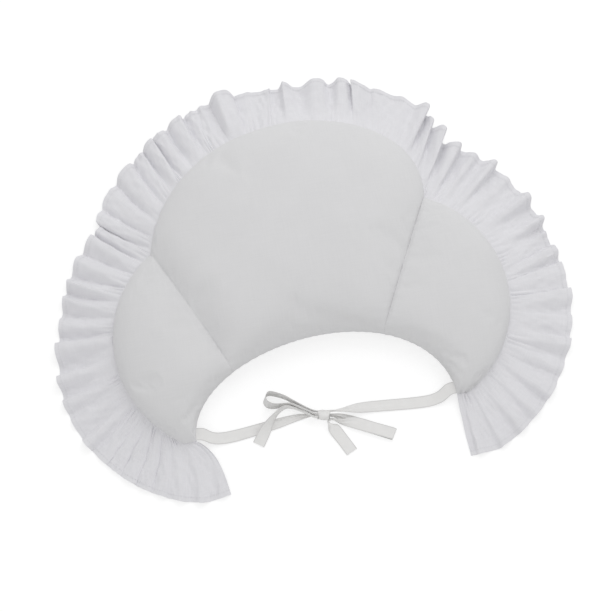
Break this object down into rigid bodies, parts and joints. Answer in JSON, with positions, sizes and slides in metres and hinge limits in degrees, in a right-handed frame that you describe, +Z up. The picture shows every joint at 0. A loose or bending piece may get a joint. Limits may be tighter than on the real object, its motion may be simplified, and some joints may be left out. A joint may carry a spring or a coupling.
{
  "type": "bum roll",
  "caption": "Crescent-shaped stuffed pad with a gathered ruffle along its outer seam and ribbon ties in a bow, worn behind the waist to hold a skirt out.",
  "frame": {"origin": "on the table under the middle of the pad and ruffle", "axes": "+X across the pad from the left tip to the right tip, +Y from the tips to the back of the pad, +Z up"},
  "size_m": [0.6048, 0.5176, 0.0622],
  "materials": {
    "cover_cloth": "matte plain weave",
    "ruffle_cloth": "thin matte plain weave",
    "ribbon": "soft satin",
    "wadding": "loose fibre"
  },
  "bodies": {
    "root": {"back_top_panel": "cover_cloth", "left_top_panel": "cover_cloth", "right_top_panel": "cover_cloth", "back_under_panel": "cover_cloth", "left_under_panel": "cover_cloth", "right_under_panel": "cover_cloth", "back_wadding": "wadding", "left_wadding": "wadding", "right_wadding": "wadding", "ruffle": "ruffle_cloth", "left_tie": "ribbon", "right_tie": "ribbon"}
  },
  "joints": []
}
